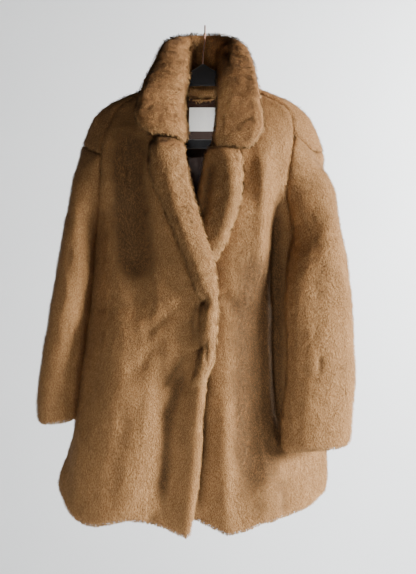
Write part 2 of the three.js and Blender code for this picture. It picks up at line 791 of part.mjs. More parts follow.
// The lining of the back, on the wall's inner side, and the blank label on it.
const LINING_ROWS = [0.4, 1, 2, 3, 4, 5, 5.5, 6, 6.5, 7, 7.5, 8, 8.5, 9, 9.5, 10, 10.5, 11];
const LINING_COLUMNS = [-1, -0.9, -0.75, -0.6, -0.45, -0.3, -0.15, 0, 0.15, 0.3, 0.45, 0.6, 0.75, 0.9, 1];
const MIDDLE_COLUMN = 4;
const liningGrid = insideOf(
  LINING_ROWS.map((row) => {
    const reach = read(LINING_REACH, "row", "reach", row);
    return surface(backControl(), [row], LINING_COLUMNS.map((c) => MIDDLE_COLUMN + reach * c))[0];
  }),
  FUR_WALL + LINING_EASE,
);
walls.back_lining = (more) => wall(liningGrid, { side: 1, thick: LINING_WALL, ...more });
fit("back_lining", [], ["front_right", "front_left", "collar"]);
add("back_lining", solids.back_lining, 0x3c231e, 0.45);

const labelGrid = insideOf(
  LABEL.rows.map((z) => LABEL.columns.map((x) => onBack(LABEL.footX + x, LABEL.footZ + z))),
  FUR_WALL + LINING_EASE + LINING_WALL + 2 * SEAM_GAP,
);
add("label", wall(labelGrid, { side: 1, thick: LABEL.wall }), 0xa09f99, 0.8);

// Hanger: arms that rise to a hub, rounded tips and a lower bar, one flat frame.
function hangerShape() {
  const { arm, barTopZ, barFootZ, barHalf } = HANGER;
  const right = HANGER_TOP.map((q) => new THREE.Vector2(q.x, q.z));
  const leftOf = (points) => points.map((p) => new THREE.Vector2(-p.x, p.y)).reverse();
  const outline = [
    ...right,
    new THREE.Vector2(barHalf + 14, -222),
    new THREE.Vector2(barHalf + 8, barFootZ + 4),
    new THREE.Vector2(barHalf, barFootZ),
  ];
  const tip = HANGER_TOP[HANGER_TOP.length - 1].x;
  const under = HANGER_TOP.slice(2, -3).map((q) => new THREE.Vector2(q.x, q.z - arm - 4));
  const inside = [
    ...under,
    new THREE.Vector2(tip - 18, -196),
    new THREE.Vector2(tip - 18, -204),
    new THREE.Vector2(barHalf, barTopZ + 4),
    new THREE.Vector2(barHalf - 6, barTopZ),
  ];
  const shape = new THREE.Shape([...outline, ...leftOf(outline.slice(1))].reverse());
  shape.holes.push(new THREE.Path([...inside, ...leftOf(inside)]));
  return shape;
}
const frame = new THREE.ExtrudeGeometry(hangerShape(), {
  depth: HANGER.wall,
  bevelEnabled: false,
});
frame.translate(0, 0, -HANGER.wall / 2);
frame.rotateX(Math.PI / 2);
frame.translate(HANGER.centreX, 0, 0);
const onHanger = ["back", "front_right", "front_left", "collar", "back_lining"];
const inHanger = onHanger.flatMap((name) => [wide(name), solids[name]]);

// Hook: one wire that leans from the hub to its top, then turns over in the plane of the coat's
// depth, like a question mark.
const turnRadius = HOOK.inside + HOOK.wire / 2;
function hookWire(wire, foot) {
  const path = [v3(HANGER.centreX, 0, foot), v3(HANGER.centreX, 0, HOOK.stemTopZ)];
  for (let angle = -50; angle <= HOOK.endAngle; angle += 15) {
    const a = THREE.MathUtils.degToRad(angle);
    const lean = HANGER.centreX * Math.max(0, -Math.sin(a)) * 0.6;
    path.push(v3(lean, turnRadius * Math.cos(a), -HOOK.inside + turnRadius * Math.sin(a)));
  }
  const curve = new THREE.CatmullRomCurve3(path, false, "centripetal");
  const section = new THREE.Shape();
  section.absarc(0, 0, wire / 2, 0, 2 * Math.PI);
  return new THREE.ExtrudeGeometry(section, { steps: 34, curveSegments: 4, extrudePath: curve });
}
const hook = solidOf(hookWire(HOOK.wire, HOOK.stemFootZ));
const socket = solidOf(hookWire(HOOK.wire + 2 * SEAM_GAP, HOOK.stemFootZ - SEAM_GAP));
add("hanger", clearOf(solidOf(frame), [...inHanger, socket]), 0x141315, 0.9);
add("hanger_hook", hook, 0xc98a6b, 0.3, 1);

export default coat;
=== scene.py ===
import math

import bpy
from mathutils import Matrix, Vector, noise


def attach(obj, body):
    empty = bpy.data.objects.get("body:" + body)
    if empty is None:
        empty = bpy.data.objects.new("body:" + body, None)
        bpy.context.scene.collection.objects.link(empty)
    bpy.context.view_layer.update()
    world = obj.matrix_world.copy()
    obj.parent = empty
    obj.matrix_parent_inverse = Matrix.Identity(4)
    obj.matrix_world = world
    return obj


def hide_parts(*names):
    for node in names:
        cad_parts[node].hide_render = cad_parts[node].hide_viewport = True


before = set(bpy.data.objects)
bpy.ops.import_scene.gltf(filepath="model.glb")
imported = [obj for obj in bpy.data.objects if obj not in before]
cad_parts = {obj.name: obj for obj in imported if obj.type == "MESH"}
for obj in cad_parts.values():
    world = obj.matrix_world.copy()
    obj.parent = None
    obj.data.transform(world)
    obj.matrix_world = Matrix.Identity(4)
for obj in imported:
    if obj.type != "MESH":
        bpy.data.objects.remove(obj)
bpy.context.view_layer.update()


# Back
# One panel of plush faux fur, lined with satin, from the hem over the shoulders to the seams on
# the coat's front. It hangs from the hanger's arms and bells out behind in soft vertical folds.

MM = 0.001
FUR_RISE = 2.0 * MM  # the pile stands this far over the backing, once it lies down
BODY_PLANE = {"x": (-0.15, 0.11), "y": 0.005, "z": (-1.0, -0.235)}  # the middle of the hollow


def from_body(p):
    """Direction away from the hollow of the body."""
    x = min(max(p.x, BODY_PLANE["x"][0]), BODY_PLANE["x"][1])
    z = min(max(p.z, BODY_PLANE["z"][0]), BODY_PLANE["z"][1])
    return (p - Vector((x, BODY_PLANE["y"], z))).normalized()


def smooth_step(low, high, value):
    t = min(max((value - low) / (high - low), 0.0), 1.0)
    return t * t * (3 - 2 * t)


def soft_copy(node, name, voxel, rounds=4, swell=2.0 * MM):
    """A CAD node's form as an even, smooth mesh, swollen by what the smoothing takes off."""
    piece = bpy.data.objects.new(name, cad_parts[node].data.copy())
    bpy.context.collection.objects.link(piece)
    weld = piece.modifiers.new("weld", "WELD")
    weld.merge_threshold = 0.1 * MM
    remesh = piece.modifiers.new("remesh", "REMESH")
    remesh.mode = "VOXEL"
    remesh.voxel_size = voxel
    smooth = piece.modifiers.new("smooth", "SMOOTH")
    smooth.factor = 0.5
    smooth.iterations = rounds
    evaluated = piece.evaluated_get(bpy.context.evaluated_depsgraph_get())
    mesh = bpy.data.meshes.new_from_object(evaluated)
    piece.modifiers.clear()
    piece.data = mesh
    mesh.materials.clear()
    swollen = [vertex.co + vertex.normal * swell for vertex in mesh.vertices]
    for vertex, place in zip(mesh.vertices, swollen):
        vertex.co = place
    for polygon in mesh.polygons:
        polygon.use_smooth = True
    return piece


def near_path(p, path):
    """Distance from a point to a path seen from the front, and how far along the path it is."""
    best, along, walked = 1e9, 0.0, 0.0
    total = sum(math.dist(a, b) for a, b in zip(path, path[1:]))
    for a, b in zip(path, path[1:]):
        run = math.dist(a, b)
        t = ((p.x - a[0]) * (b[0] - a[0]) + (p.z - a[1]) * (b[1] - a[1])) / (run * run)
        t = min(max(t, 0.0), 1.0)
        far = math.hypot(p.x - a[0] - t * (b[0] - a[0]), p.z - a[1] - t * (b[1] - a[1]))
        if far < best:
            best, along = far, (walked + t * run) / total
        walked += run
    return best, along


def crease_push(p, creases):
    """How far the creases near a point push the cloth out there; a trough pushes it in."""
    push = 0.0
    for crease in creases:
        far, along = near_path(p, crease["path"])
        width = crease["width"]
        if far < 2.6 * width:
            ends = smooth_step(0.0, 0.22, along) * smooth_step(0.0, 0.22, 1 - along)
            push += crease["out"] * (0.25 + 0.75 * ends) * math.exp(-((far / width) ** 2))
    return push


def lumps(p, coarse, fine):
    """Unevenness of a thick pile on a soft backing."""
    broad = noise.noise(p / 0.06) * coarse
    small = noise.noise(p / 0.017 + Vector((7.3, 1.1, 4.2))) * fine
    return broad + small


PILE_SIDE = (-0.6, -0.2)  # from inside to outside, as the cosine to the way outward
# Painted shade: where a crease pushes the cloth in, the pile's colour darkens, fully at the second
# depth.
SHADE_TROUGH_DEPTHS = (0.5 * MM, 9 * MM)  # where a trough starts to darken, and where it is darkest
CLOTH_BACK = 0.02  # creases placed from the front stop here, in Y
PILE_SHARE = 0.3  # a face with less pile than this shows satin


def shape_cloth(piece, away, creases=(), coarse=2.2 * MM, fine=1.1 * MM, front_only=True):
    """Creases and lumps on a panel; its pile side then drops to the backing the pile stands on."""
    mesh = piece.data
    furry = mesh.attributes.new("furry", "FLOAT", "POINT")
    trough = mesh.attributes.new("trough", "FLOAT", "POINT")
    moved = []
    for vertex in mesh.vertices:
        p, n = vertex.co, vertex.normal
        direction = away(p) if away else n
        side = n.dot(direction)
        pile = smooth_step(*PILE_SIDE, side) if away else 1.0
        push = lumps(p, coarse, fine)
        if creases and (p.y < CLOTH_BACK or not front_only):
            push += crease_push(p, creases)
        furry.data[vertex.index].value = pile
        # mask for the painted shade in troughs
        trough.data[vertex.index].value = smooth_step(*SHADE_TROUGH_DEPTHS, -push)
        moved.append(p + direction * (push - FUR_RISE * pile))
    for vertex, place in zip(mesh.vertices, moved):
        vertex.co = place
    mesh.update()
    for polygon in mesh.polygons:
        share = sum(furry.data[i].value for i in polygon.vertices) / len(polygon.vertices)
        polygon.material_index = 0 if share > PILE_SHARE else 1


def speckle_group():
    """Shared colour variation: broad patches where the nap lies differently, and fine grain."""
    group = bpy.data.node_groups.new("nap_variation", "ShaderNodeTree")
    sockets = group.interface
    sockets.new_socket("Colour", in_out="INPUT", socket_type="NodeSocketColor")
    sockets.new_socket("Patch size", in_out="INPUT", socket_type="NodeSocketFloat")
    sockets.new_socket("Patch strength", in_out="INPUT", socket_type="NodeSocketFloat")
    sockets.new_socket("Grain size", in_out="INPUT", socket_type="NodeSocketFloat")
    sockets.new_socket("Grain strength", in_out="INPUT", socket_type="NodeSocketFloat")
    sockets.new_socket("Colour", in_out="OUTPUT", socket_type="NodeSocketColor")
    sockets.new_socket("Height", in_out="OUTPUT", socket_type="NodeSocketFloat")
    nodes, links = group.nodes, group.links
    given = nodes.new("NodeGroupInput")
    result = nodes.new("NodeGroupOutput")
    place = nodes.new("ShaderNodeTexCoord")

    def varied(size, strength):
        scale = nodes.new("ShaderNodeMath")
        scale.operation = "DIVIDE"
        scale.inputs[0].default_value = 1.0
        links.new(given.outputs[size], scale.inputs[1])
        texture = nodes.new("ShaderNodeTexNoise")
        texture.inputs["Detail"].default_value = 2.0
        links.new(place.outputs["Object"], texture.inputs["Vector"])
        links.new(scale.outputs[0], texture.inputs["Scale"])
        centred = nodes.new("ShaderNodeMath")
        centred.operation = "SUBTRACT"
        centred.inputs[1].default_value = 0.5
        links.new(texture.outputs["Fac"], centred.inputs[0])
        scaled = nodes.new("ShaderNodeMath")
        scaled.operation = "MULTIPLY_ADD"
        scaled.inputs[2].default_value = 1.0
        links.new(centred.outputs[0], scaled.inputs[0])
        links.new(given.outputs[strength], scaled.inputs[1])
        return scaled, texture

    patch, _ = varied("Patch size", "Patch strength")
    grain, grain_texture = varied("Grain size", "Grain strength")
    both = nodes.new("ShaderNodeMath")
    both.operation = "MULTIPLY"
    links.new(patch.outputs[0], both.inputs[0])
    links.new(grain.outputs[0], both.inputs[1])
    tinted = nodes.new("ShaderNodeVectorMath")
    tinted.operation = "SCALE"
    links.new(given.outputs["Colour"], tinted.inputs[0])
    links.new(both.outputs[0], tinted.inputs["Scale"])
    links.new(tinted.outputs[0], result.inputs["Colour"])
    links.new(grain_texture.outputs["Fac"], result.inputs["Height"])
    return group


NAP = speckle_group()


def plain_material(name, roughness):
    material = bpy.data.materials.new(name)
    material.use_nodes = True
    shader = material.node_tree.nodes["Principled BSDF"]
    shader.inputs["Roughness"].default_value = roughness
    return material, shader


def vary(material, shader, colour, patch, grain, bump=0.0, bump_depth=0.5 * MM):
    """Colour from the shared variation, patch and grain each given as (size, strength)."""
    nodes, links = material.node_tree.nodes, material.node_tree.links
    nap = nodes.new("ShaderNodeGroup")
    nap.node_tree = NAP
    if colour:
        nap.inputs["Colour"].default_value = (*colour, 1.0)
    nap.inputs["Patch size"].default_value = patch[0]
    nap.inputs["Patch strength"].default_value = patch[1]
    nap.inputs["Grain size"].default_value = grain[0]
    nap.inputs["Grain strength"].default_value = grain[1]
    links.new(nap.outputs["Colour"], shader.inputs["Base Color"])
    if bump:
        relief = nodes.new("ShaderNodeBump")
        relief.inputs["Strength"].default_value = bump
        relief.inputs["Distance"].default_value = bump_depth
        links.new(nap.outputs["Height"], relief.inputs["Height"])
        links.new(relief.outputs["Normal"], shader.inputs["Normal"])
    return nap


# the backing is darker than the pile's tips, partly as painted shade between the tufts
BACKING_COLOUR_AND_SHADE = (0.30, 0.145, 0.052)
SATIN_COLOUR = (0.040, 0.018, 0.012)
# the pile's root colour: partly its own, partly painted shade between the tufts
PILE_ROOT_AND_SHADE = (0.20, 0.085, 0.024)
PILE_TIP = (0.57, 0.325, 0.140)

backing, backing_shader = plain_material("fur_backing", 0.95)
vary(backing, backing_shader, BACKING_COLOUR_AND_SHADE, (0.05, 0.4), (0.004, 0.8), 0.6, 1.5 * MM)

satin, satin_shader = plain_material("satin_lining", 0.5)
satin_shader.inputs["Specular IOR Level"].default_value = 0.2
vary(satin, satin_shader, SATIN_COLOUR, (0.03, 0.5), (0.0015, 0.25), 0.15, 0.2 * MM)


def pile_material(name, root, tip):
    """Plush pile: roots darker, partly as painted shade; troughs darkened as painted shade; tips
    paler.
    """
    material, shader = plain_material(name, 0.8)
    shader.inputs["Sheen Weight"].default_value = 0.2
    shader.inputs["Sheen Roughness"].default_value = 0.45
    shader.inputs["Sheen Tint"].default_value = (0.62, 0.34, 0.14, 1.0)
    shader.inputs["Specular IOR Level"].default_value = 0.2
    nodes, links = material.node_tree.nodes, material.node_tree.links
    height = nodes.new("ShaderNodeAttribute")
    height.attribute_name = "tip"
    shade = nodes.new("ShaderNodeAttribute")
    shade.attribute_name = "shade"
    facing = nodes.new("ShaderNodeAttribute")
    facing.attribute_name = "nap_normal"
    # root to tip; the dark roots are partly painted shade between the tufts
    ramp = nodes.new("ShaderNodeValToRGB")
    ramp.color_ramp.elements[0].position = 0.1
    ramp.color_ramp.elements[0].color = (*root, 1.0)
    ramp.color_ramp.elements[1].position = 0.85
    ramp.color_ramp.elements[1].color = (*tip, 1.0)
    # painted shade: darken the pile by up to 68% where a trough pushes in
    trough = nodes.new("ShaderNodeAttribute")
    trough.attribute_name = "trough"
    trough_shade = nodes.new("ShaderNodeMath")
    trough_shade.operation = "MULTIPLY_ADD"
    trough_shade.inputs[1].default_value = -0.68
    trough_shade.inputs[2].default_value = 1.0
    links.new(trough.outputs["Fac"], trough_shade.inputs[0])
    links.new(height.outputs["Fac"], ramp.inputs["Fac"])
    spread = nodes.new("ShaderNodeMath")
    spread.operation = "MULTIPLY_ADD"
    spread.inputs[1].default_value = 0.20
    spread.inputs[2].default_value = 0.90
    links.new(shade.outputs["Fac"], spread.inputs[0])
    shown = nodes.new("ShaderNodeMath")
    shown.operation = "MULTIPLY"
    links.new(spread.outputs[0], shown.inputs[0])
    links.new(trough_shade.outputs[0], shown.inputs[1])
    tinted = nodes.new("ShaderNodeVectorMath")
    tinted.operation = "SCALE"
    links.new(ramp.outputs["Color"], tinted.inputs[0])
    links.new(shown.outputs[0], tinted.inputs["Scale"])
    nap = vary(material, shader, None, (0.05, 0.35), (0.006, 0.25))
    links.new(tinted.outputs[0], nap.inputs["Colour"])
    links.new(facing.outputs["Vector"], shader.inputs["Normal"])
    return material


pile = pile_material("plush_pile", PILE_ROOT_AND_SHADE, PILE_TIP)


def pile_tree():
    """Tufts on a backing: points, a direction for each, a pointed blade on each."""
    tree = bpy.data.node_groups.new("pile_tufts", "GeometryNodeTree")
    sockets = tree.interface
    sockets.new_socket("Geometry", in_out="INPUT", socket_type="NodeSocketGeometry")
    for name, kind in (
        ("Tuft spacing", "NodeSocketFloat"),
        ("Tuft length", "NodeSocketFloat"),
        ("Tuft width", "NodeSocketFloat"),
        ("Nap", "NodeSocketVector"),
        ("Clump size", "NodeSocketFloat"),
        ("Clump pull", "NodeSocketFloat"),
        ("Disorder", "NodeSocketFloat"),
        ("Seed", "NodeSocketInt"),
        ("Material", "NodeSocketMaterial"),
    ):
        sockets.new_socket(name, in_out="INPUT", socket_type=kind)
    sockets.new_socket("Geometry", in_out="OUTPUT", socket_type="NodeSocketGeometry")
    nodes, links = tree.nodes, tree.links
    given = nodes.new("NodeGroupInput")
    result = nodes.new("NodeGroupOutput")

    def scalar(operation, a, b=None):
        node = nodes.new("ShaderNodeMath")
        node.operation = operation
        for socket, value in zip(node.inputs, (a, b)):
            if isinstance(value, (int, float)):
                socket.default_value = value
            elif value is not None:
                links.new(value, socket)
        return node.outputs[0]

    def vector(operation, a, b=None, scale=None):
        node = nodes.new("ShaderNodeVectorMath")
        node.operation = operation
        for socket, value in zip(node.inputs, (a, b)):
            if isinstance(value, tuple):
                socket.default_value = value
            elif value is not None:
                links.new(value, socket)
        if scale is not None:
            if isinstance(scale, (int, float)):
                node.inputs["Scale"].default_value = scale
            else:
                links.new(scale, node.inputs["Scale"])
        return node.outputs[0]

    # one blade: a diamond from its root at 0 to its tip, bent forward
    diamond = nodes.new("GeometryNodeMeshCircle")
    diamond.fill_type = "NGON"
    diamond.inputs["Vertices"].default_value = 4
    diamond.inputs["Radius"].default_value = 1.0
    corner = nodes.new("ShaderNodeSeparateXYZ")
    corner_place = nodes.new("GeometryNodeInputPosition")
    links.new(corner_place.outputs[0], corner.inputs[0])
    along = scalar("MULTIPLY", scalar("ADD", corner.outputs["Y"], 1.0), 0.5)
    blade_place = nodes.new("ShaderNodeCombineXYZ")
    half_width = scalar("MULTIPLY", given.outputs["Tuft width"], 0.5)
    links.new(scalar("MULTIPLY", corner.outputs["X"], half_width), blade_place.inputs["X"])
    bend = scalar("MULTIPLY", scalar("MULTIPLY", along, along), -0.22)
    links.new(scalar("MULTIPLY", bend, given.outputs["Tuft length"]), blade_place.inputs["Y"])
    links.new(scalar("MULTIPLY", along, given.outputs["Tuft length"]), blade_place.inputs["Z"])
    marked = nodes.new("GeometryNodeStoreNamedAttribute")
    marked.data_type = "FLOAT"
    marked.domain = "POINT"
    marked.inputs["Name"].default_value = "tip"
    links.new(diamond.outputs["Mesh"], marked.inputs["Geometry"])
    links.new(along, marked.inputs["Value"])
    blade = nodes.new("GeometryNodeSetPosition")
    links.new(marked.outputs["Geometry"], blade.inputs["Geometry"])
    links.new(blade_place.outputs[0], blade.inputs["Position"])

    # where the tufts stand
    scatter = nodes.new("GeometryNodeDistributePointsOnFaces")
    scatter.distribute_method = "POISSON"
    pile_side = nodes.new("GeometryNodeInputNamedAttribute")
    pile_side.data_type = "FLOAT"
    pile_side.inputs["Name"].default_value = "furry"
    links.new(given.outputs["Geometry"], scatter.inputs["Mesh"])
    links.new(given.outputs["Tuft spacing"], scatter.inputs["Distance Min"])
    per_area = scalar("MULTIPLY", given.outputs["Tuft spacing"], given.outputs["Tuft spacing"])
    links.new(scalar("DIVIDE", 1.5, per_area), scatter.inputs["Density Max"])
    links.new(pile_side.outputs["Attribute"], scatter.inputs["Density Factor"])
    links.new(given.outputs["Seed"], scatter.inputs["Seed"])

    # which way each points: off the surface, down the nap, towards its clump, and at random
    place = nodes.new("GeometryNodeInputPosition")
    clump = nodes.new("ShaderNodeTexNoise")
    clump.inputs["Detail"].default_value = 1.0
    links.new(place.outputs[0], clump.inputs["Vector"])
    links.new(scalar("DIVIDE", 1.0, given.outputs["Clump size"]), clump.inputs["Scale"])
    pull = vector("SUBTRACT", clump.outputs["Color"], (0.5, 0.5, 0.5))
    pull = vector("SCALE", pull, scale=given.outputs["Clump pull"])
    stray = nodes.new("FunctionNodeRandomValue")
    stray.data_type = "FLOAT_VECTOR"
    stray.inputs["Min"].default_value = (-1.0, -1.0, -1.0)
    stray.inputs["Max"].default_value = (1.0, 1.0, 1.0)
    links.new(given.outputs["Seed"], stray.inputs["Seed"])
    strayed = vector("SCALE", stray.outputs["Value"], scale=given.outputs["Disorder"])
    off = scatter.outputs["Normal"]
    uneven = vector("ADD", pull, strayed)
    pointing = vector("ADD", vector("ADD", off, given.outputs["Nap"]), uneven)
    facing = vector("NORMALIZE", vector("ADD", off, vector("SCALE", uneven, scale=0.30)))
    upright = nodes.new("FunctionNodeAlignRotationToVector")
    upright.axis = "Z"
    links.new(pointing, upright.inputs["Vector"])
    turned = nodes.new("FunctionNodeAlignRotationToVector")
    turned.axis = "Y"
    turned.pivot_axis = "Z"
    links.new(upright.outputs["Rotation"], turned.inputs["Rotation"])
    links.new(vector("ADD", off, strayed), turned.inputs["Vector"])

    kept = nodes.new("GeometryNodeStoreNamedAttribute")
    kept.data_type = "FLOAT_VECTOR"
    kept.domain = "POINT"
    kept.inputs["Name"].default_value = "nap_normal"
    links.new(scatter.outputs["Points"], kept.inputs["Geometry"])
    links.new(facing, kept.inputs["Value"])
    chance = nodes.new("FunctionNodeRandomValue")
    chance.data_type = "FLOAT"
    links.new(given.outputs["Seed"], chance.inputs["Seed"])
    shaded = nodes.new("GeometryNodeStoreNamedAttribute")
    shaded.data_type = "FLOAT"
    shaded.domain = "POINT"
    shaded.inputs["Name"].default_value = "shade"
    links.new(kept.outputs["Geometry"], shaded.inputs["Geometry"])
    links.new(chance.outputs[1], shaded.inputs["Value"])
    grown = nodes.new("FunctionNodeRandomValue")
    grown.data_type = "FLOAT"
    grown.inputs[2].default_value = 0.72
    grown.inputs[3].default_value = 1.18
    links.new(scalar("ADD", given.outputs["Seed"], 5), grown.inputs["Seed"])

    planted = nodes.new("GeometryNodeInstanceOnPoints")
    links.new(shaded.outputs["Geometry"], planted.inputs["Points"])
    links.new(blade.outputs["Geometry"], planted.inputs["Instance"])
    links.new(turned.outputs["Rotation"], planted.inputs["Rotation"])
    links.new(grown.outputs[1], planted.inputs["Scale"])
    real = nodes.new("GeometryNodeRealizeInstances")
    links.new(planted.outputs["Instances"], real.inputs["Geometry"])
    painted = nodes.new("GeometryNodeSetMaterial")
    links.new(real.outputs["Geometry"], painted.inputs["Geometry"])
    links.new(given.outputs["Material"], painted.inputs["Material"])
    links.new(painted.outputs["Geometry"], result.inputs["Geometry"])
    return tree


PILE_TREE = pile_tree()


def grow_pile(cloth, name, spacing, length, width, seed, nap=(0.0, 0.0, -0.9),
              clump=0.012, pull=0.8, disorder=0.22, material=pile):
    """The pile of one panel, as a mesh of its own."""
    planted = bpy.data.objects.new(name, cloth.data)
    bpy.context.collection.objects.link(planted)
    modifier = planted.modifiers.new("pile", "NODES")
    modifier.node_group = PILE_TREE
    values = {
        "Tuft spacing": spacing, "Tuft length": length, "Tuft width": width, "Nap": nap,
        "Clump size": clump, "Clump pull": pull, "Disorder": disorder, "Seed": seed,
        "Material": material,
    }
    for item in PILE_TREE.interface.items_tree:
        if item.in_out == "INPUT" and item.name in values:
            modifier[item.identifier] = values[item.name]
    planted.update_tag()
    evaluated = planted.evaluated_get(bpy.context.evaluated_depsgraph_get())
    mesh = bpy.data.meshes.new_from_object(evaluated)
    planted.modifiers.clear()
    planted.data = mesh
    return planted


def finish_cloth(cloth, tufts, node):
    for piece in (cloth, tufts):
        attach(piece, "root")
        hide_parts(node)


SIDE_SWELL = {
    "path": [(-0.213, -0.33), (-0.230, -0.63), (-0.25, -0.86)], "width": 0.016, "out": 6 * MM,
}
back = soft_copy("back", "back_cloth", 6 * MM)
back_folds = [
    SIDE_SWELL,
    {"path": [(-0.12, -0.30), (-0.13, -0.60), (-0.15, -0.90)], "width": 0.030, "out": -5 * MM},
    {"path": [(0.02, -0.38), (0.03, -0.65), (0.05, -0.92)], "width": 0.034, "out": 4 * MM},
    {"path": [(0.10, -0.34), (0.12, -0.58), (0.14, -0.88)], "width": 0.026, "out": -5 * MM},
    {"path": [(-0.05, -0.55), (-0.06, -0.75), (-0.06, -0.93)], "width": 0.028, "out": -4 * MM},
]
shape_cloth(back, from_body, back_folds, front_only=False)
back.data.materials.append(backing)
back.data.materials.append(satin)
back_pile = grow_pile(back, "back_pile", 2.1 * MM, 6.5 * MM, 2.4 * MM, 11)
finish_cloth(back, back_pile, "back")


# Right front
# The wearer's right front, on the viewer's left, laps over the other. It is one fur panel with
# satin inside, sewn to the back at the side and shoulder. Its fastened edge drags a few creases,
# and below the waist it bellies forward.

right_creases = [
    # this wide trough also darkens the pile as painted shade
    {"path": [(-0.148, -0.20), (-0.146, -0.36), (-0.124, -0.53)], "width": 0.038, "out": -14 * MM},
    {"path": [(-0.117, -0.27), (-0.070, -0.40), (-0.030, -0.52)], "width": 0.012, "out": 5 * MM},
    {"path": [(-0.190, -0.23), (-0.186, -0.34), (-0.184, -0.47)], "width": 0.012, "out": 2 * MM},
    {"path": [(-0.032, -0.639), (-0.058, -0.677), (-0.083, -0.713)], "width": 0.007, "out": -5 * MM},
    {"path": [(-0.028, -0.647), (-0.066, -0.753), (-0.083, -0.94)], "width": 0.015, "out": -8 * MM},
    {"path": [(-0.009, -0.537), (-0.024, -0.583), (-0.017, -0.634)], "width": 0.008, "out": -7 * MM},
    {"path": [(-0.075, -0.62), (-0.11, -0.65), (-0.14, -0.69)], "width": 0.014, "out": -4 * MM},
    {"path": [(-0.030, -0.54), (-0.07, -0.57), (-0.12, -0.62)], "width": 0.011, "out": -4 * MM},
    {"path": [(-0.004, -0.58), (-0.021, -0.82), (-0.040, -1.06)], "width": 0.021, "out": 11 * MM},
    {"path": [(-0.155, -0.53), (-0.178, -0.68), (-0.195, -1.06)], "width": 0.048, "out": 17 * MM},
    {"path": [(-0.10, -0.94), (-0.10, -0.99)], "width": 0.010, "out": -5 * MM},
    {"path": [(-0.22, -0.62), (-0.235, -0.74), (-0.255, -0.90)], "width": 0.018, "out": 4 * MM},
    {"path": [(-0.15, -0.72), (-0.16, -0.82), (-0.18, -0.95)], "width": 0.016, "out": -4 * MM},
    SIDE_SWELL,
]

front_right = soft_copy("front_right", "front_right_cloth", 5 * MM)
shape_cloth(front_right, from_body, right_creases)
front_right.data.materials.append(backing)
front_right.data.materials.append(satin)
front_right_pile = grow_pile(front_right, "front_right_pile", 1.5 * MM, 6.0 * MM, 1.7 * MM, 21)
finish_cloth(front_right, front_right_pile, "front_right")


# Left front
# The wearer's left front, half hidden under the right one and the sleeve. It is cut and sewn
# like its pair, and falls in a deep fold beside the sleeve, darkened by real shade and by painted
# shade in the pile.

left_creases = [
    {"path": [(0.035, -0.70), (0.036, -0.85), (0.040, -0.98)], "width": 0.015, "out": 5 * MM},
    # this wide trough also darkens the pile as painted shade
    {"path": [(0.114, -0.42), (0.098, -0.66), (0.100, -0.93)], "width": 0.042, "out": -17 * MM},
    {"path": [(0.108, -0.25), (0.110, -0.36), (0.106, -0.48)], "width": 0.012, "out": 6 * MM},
    {"path": [(0.145, -0.30), (0.146, -0.55), (0.148, -0.84)], "width": 0.014, "out": -9 * MM},
    {"path": [(0.03, -0.52), (0.06, -0.56), (0.10, -0.57)], "width": 0.012, "out": -3 * MM},
    {"path": [(0.004, -0.66), (-0.004, -0.82), (-0.014, -0.97)], "width": 0.009, "out": -6 * MM},
    {"path": [(0.15, -0.88), (0.16, -0.96)], "width": 0.014, "out": -4 * MM},
]
front_left = soft_copy("front_left", "front_left_cloth", 5 * MM)
shape_cloth(front_left, from_body, left_creases)
front_left.data.materials.append(backing)
front_left.data.materials.append(satin)
front_left_pile = grow_pile(front_left, "front_left_pile", 1.55 * MM, 6.0 * MM, 1.75 * MM, 31)
finish_cloth(front_left, front_left_pile, "front_left")


# Sleeves
# Each is one fur panel sewn into a tube on a dropped armhole, lined with satin, with a wide
# plain cuff. The right one hangs edge-on beside the body, the left one turns over its front.

SLEEVE_LINES = {
    "right": (Vector((-0.232, 0.0, -0.30)), Vector((-0.293, 0.0, -0.79))),
    "left": (Vector((0.210, -0.015, -0.34)), Vector((0.213, -0.062, -0.82))),
}


def from_line(top, foot):
    """Direction away from a sleeve's middle line."""
    def away(p):
        t = min(max((p.z - top.z) / (foot.z - top.z), 0.0), 1.0)
        middle = top.lerp(foot, t)
        return (p - middle - Vector((0, 0, (p.z - middle.z) * 0.9))).normalized()
    return away


right_sleeve_creases = [
    {"path": [(-0.255, -0.43), (-0.262, -0.47), (-0.252, -0.52)], "width": 0.012, "out": -4 * MM},
    {"path": [(-0.29, -0.47), (-0.275, -0.52), (-0.29, -0.57)], "width": 0.012, "out": -2.5 * MM},
    {"path": [(-0.275, -0.36), (-0.26, -0.39), (-0.245, -0.40)], "width": 0.010, "out": -2 * MM},
    {"path": [(-0.305, -0.60), (-0.315, -0.68), (-0.31, -0.76)], "width": 0.014, "out": 2.5 * MM},
    {"path": [(-0.222, -0.36), (-0.236, -0.59), (-0.256, -0.88)], "width": 0.018, "out": 6 * MM},
]
left_sleeve_creases = [
    {"path": [(0.217, -0.645), (0.219, -0.665), (0.216, -0.685)], "width": 0.005, "out": -4 * MM},
    {"path": [(0.255, -0.47), (0.272, -0.54), (0.276, -0.62)], "width": 0.012, "out": 3 * MM},
    {"path": [(0.175, -0.33), (0.178, -0.45), (0.17, -0.58)], "width": 0.018, "out": 3 * MM},
    {"path": [(0.21, -0.40), (0.218, -0.50), (0.21, -0.62)], "width": 0.020, "out": -3 * MM},
    {"path": [(0.20, -0.72), (0.23, -0.75), (0.26, -0.745)], "width": 0.012, "out": -2 * MM},
    {"path": [(0.18, -0.23), (0.215, -0.26), (0.245, -0.30)], "width": 0.012, "out": -2.5 * MM},
]
